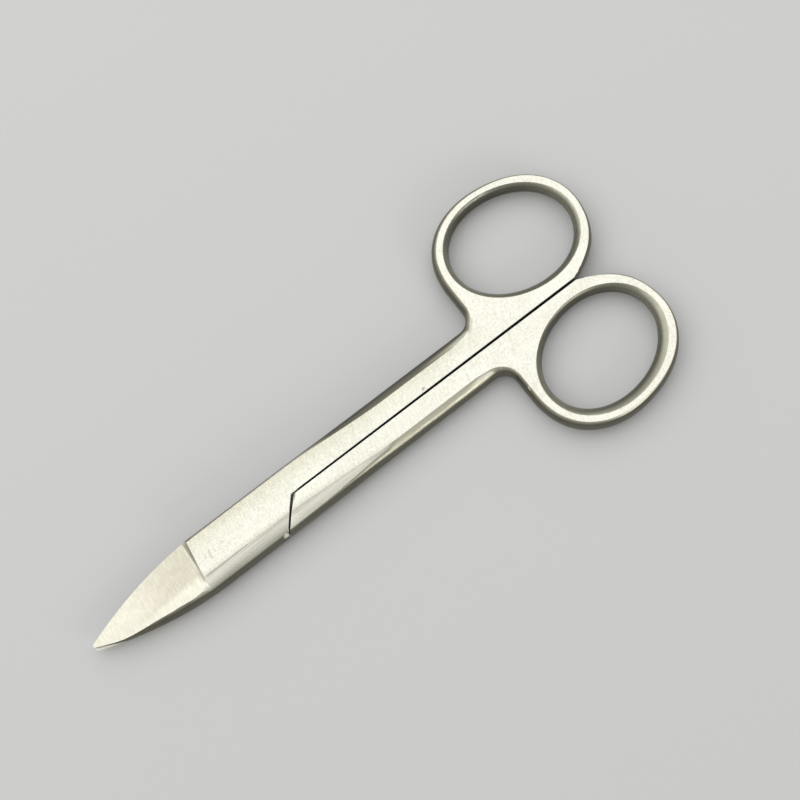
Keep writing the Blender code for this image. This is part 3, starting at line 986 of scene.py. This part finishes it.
@dataclass(kw_only=True)
class PivotScrew(SteelPiece):
    """The turned screw, its slotted head flush in the lower half."""

    node: str = "pivot_screw"
    body: str = "upper"
    slot: str = "turned_steel"
    smooth_angle: float = math.radians(30.0)
    finish: SteelFinish = SteelFinish(
        "turned_screw_steel", dark=(0.56, 0.545, 0.50), light=(0.88, 0.865, 0.80),
        roughness=0.26, grain_width=0.11 * MM, lines_share=0.75, mottle_share=0.1,
        specks_share=0.15, clouds_share=0.0, turned_about=(-21.5 * MM, 0.0, 0.0),
    )

    def build(self) -> bpy.types.Object:
        """Makes the screw and seats it on its body.

        Returns:
            The piece.
        """
        form = self.form()
        for edge in form.edges:
            edge.smooth = edge.calc_face_angle(0.0) < self.smooth_angle
        piece = self.piece(self.mesh(form), [self.finish.material()])
        self.seat(piece)
        return piece


@dataclass(frozen=True)
class Lamp:
    """A soft rectangular lamp, as bright all over as its radiance says."""

    name: str
    place: Place
    size: Pair
    radiance: float
    level: bool = False

    def build(self) -> bpy.types.Object:
        """Hangs the lamp, looking straight down if it is level and else at the origin.

        Returns:
            The lamp.
        """
        light = bpy.data.lights.new(self.name, "AREA")
        light.shape = "RECTANGLE"
        light.size, light.size_y = self.size
        light.energy = self.radiance * math.pi * self.size[0] * self.size[1]
        lamp = bpy.data.objects.new(self.name, light)
        bpy.context.scene.collection.objects.link(lamp)
        lamp.location = self.place
        if not self.level:
            lamp.rotation_euler = (-Vector(self.place)).to_track_quat("-Z", "Y").to_euler()
        return lamp


@dataclass
class Studio:
    """A pale floor, soft lamps and an even pale surround."""

    floor_radius: float = 0.8
    floor_sides: int = 96
    floor_colour: Colour = (0.74, 0.74, 0.735)
    floor_roughness: float = 0.9
    floor_gloss: float = 0.1
    floor_drop: float = 0.02 * MM
    surround_colour: Colour = (0.38, 0.38, 0.378)
    key: Lamp = Lamp("key", place=(0.0, 0.48, 0.60), size=(1.8, 1.2), radiance=0.84, level=True)
    glint: Lamp = Lamp("glint", place=(0.15, -0.62, 0.26), size=(0.34, 0.2), radiance=3.0)

    def paint(self) -> bpy.types.Material:
        """Mixes the floor's matt paint.

        Returns:
            The material.
        """
        material = bpy.data.materials.new("floor_paint")
        material.use_nodes = True
        surface = material.node_tree.nodes["Principled BSDF"].inputs
        surface["Base Color"].default_value = (*self.floor_colour, 1.0)
        surface["Roughness"].default_value = self.floor_roughness
        surface["Specular IOR Level"].default_value = self.floor_gloss
        return material

    def floor(self) -> bpy.types.Object:
        """Lays the floor just below the scissors.

        Returns:
            The floor.
        """
        form = bmesh.new()
        bmesh.ops.create_circle(
            form, cap_ends=True, segments=self.floor_sides, radius=self.floor_radius
        )
        bmesh.ops.translate(form, vec=(0.0, 0.0, -self.floor_drop), verts=form.verts)
        data = bpy.data.meshes.new("floor")
        form.to_mesh(data)
        form.free()
        data.materials.append(self.paint())
        floor = bpy.data.objects.new("floor", data)
        bpy.context.scene.collection.objects.link(floor)
        return floor

    def surround(self) -> None:
        """Sets the even surround, which is the backdrop too."""
        world = bpy.data.worlds.new("surround")
        world.use_nodes = True
        background = world.node_tree.nodes["Background"]
        background.inputs["Color"].default_value = (*self.surround_colour, 1.0)
        bpy.context.scene.world = world

    def build(self) -> None:
        """Sets up the whole studio."""
        self.surround()
        self.floor()
        self.key.build()
        self.glint.build()
        bpy.context.scene.view_settings.view_transform = "Standard"


@dataclass
class Camera:
    """The camera, high over the scissors and rolled so that they lie aslant in the frame."""

    target: Place = (9.44 * MM, 2.48 * MM, 0.0)
    distance: float = 200.0 * MM
    nearest: float = 2.0 * MM
    elevation: float = math.radians(75.09)
    azimuth: float = math.radians(-3.49)
    roll: float = math.radians(-34.0)
    frame_pixels: float = 800.0
    focal_pixels: float = 1300.0
    sensor: float = 36.0

    def build(self) -> bpy.types.Object:
        """Places the camera and makes it the scene's.

        Returns:
            The camera.
        """
        data = bpy.data.cameras.new("camera")
        data.sensor_width = self.sensor
        data.lens = self.sensor * self.focal_pixels / self.frame_pixels
        data.clip_start = self.nearest
        camera = bpy.data.objects.new("camera", data)
        bpy.context.scene.collection.objects.link(camera)
        turn = (
            Euler((math.pi / 2 - self.elevation, 0.0, self.azimuth)).to_matrix()
            @ Matrix.Rotation(self.roll, 3, "Z")
        )
        camera.matrix_world = Matrix.Translation(
            Vector(self.target) + turn @ Vector((0.0, 0.0, self.distance))
        ) @ turn.to_4x4()
        bpy.context.scene.camera = camera
        return camera


def main() -> None:
    """Builds the scissors, the studio and the camera in order."""
    logging.basicConfig(level=logging.INFO, format="%(name)s: %(message)s")
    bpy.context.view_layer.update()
    materials = ForgingFinishes().materials()
    pieces = [
        Half(node="upper_half", body="upper", turned_over=False).build(materials),
        Half(node="lower_half", body="lower", turned_over=True).build(materials),
        PivotScrew().build(),
    ]
    for piece in pieces:
        log.info("%s: %d faces", piece.name, len(piece.data.polygons))
    Studio().build()
    Camera().build()
    log.info("sizes written")


if __name__ == "__main__":
    main()
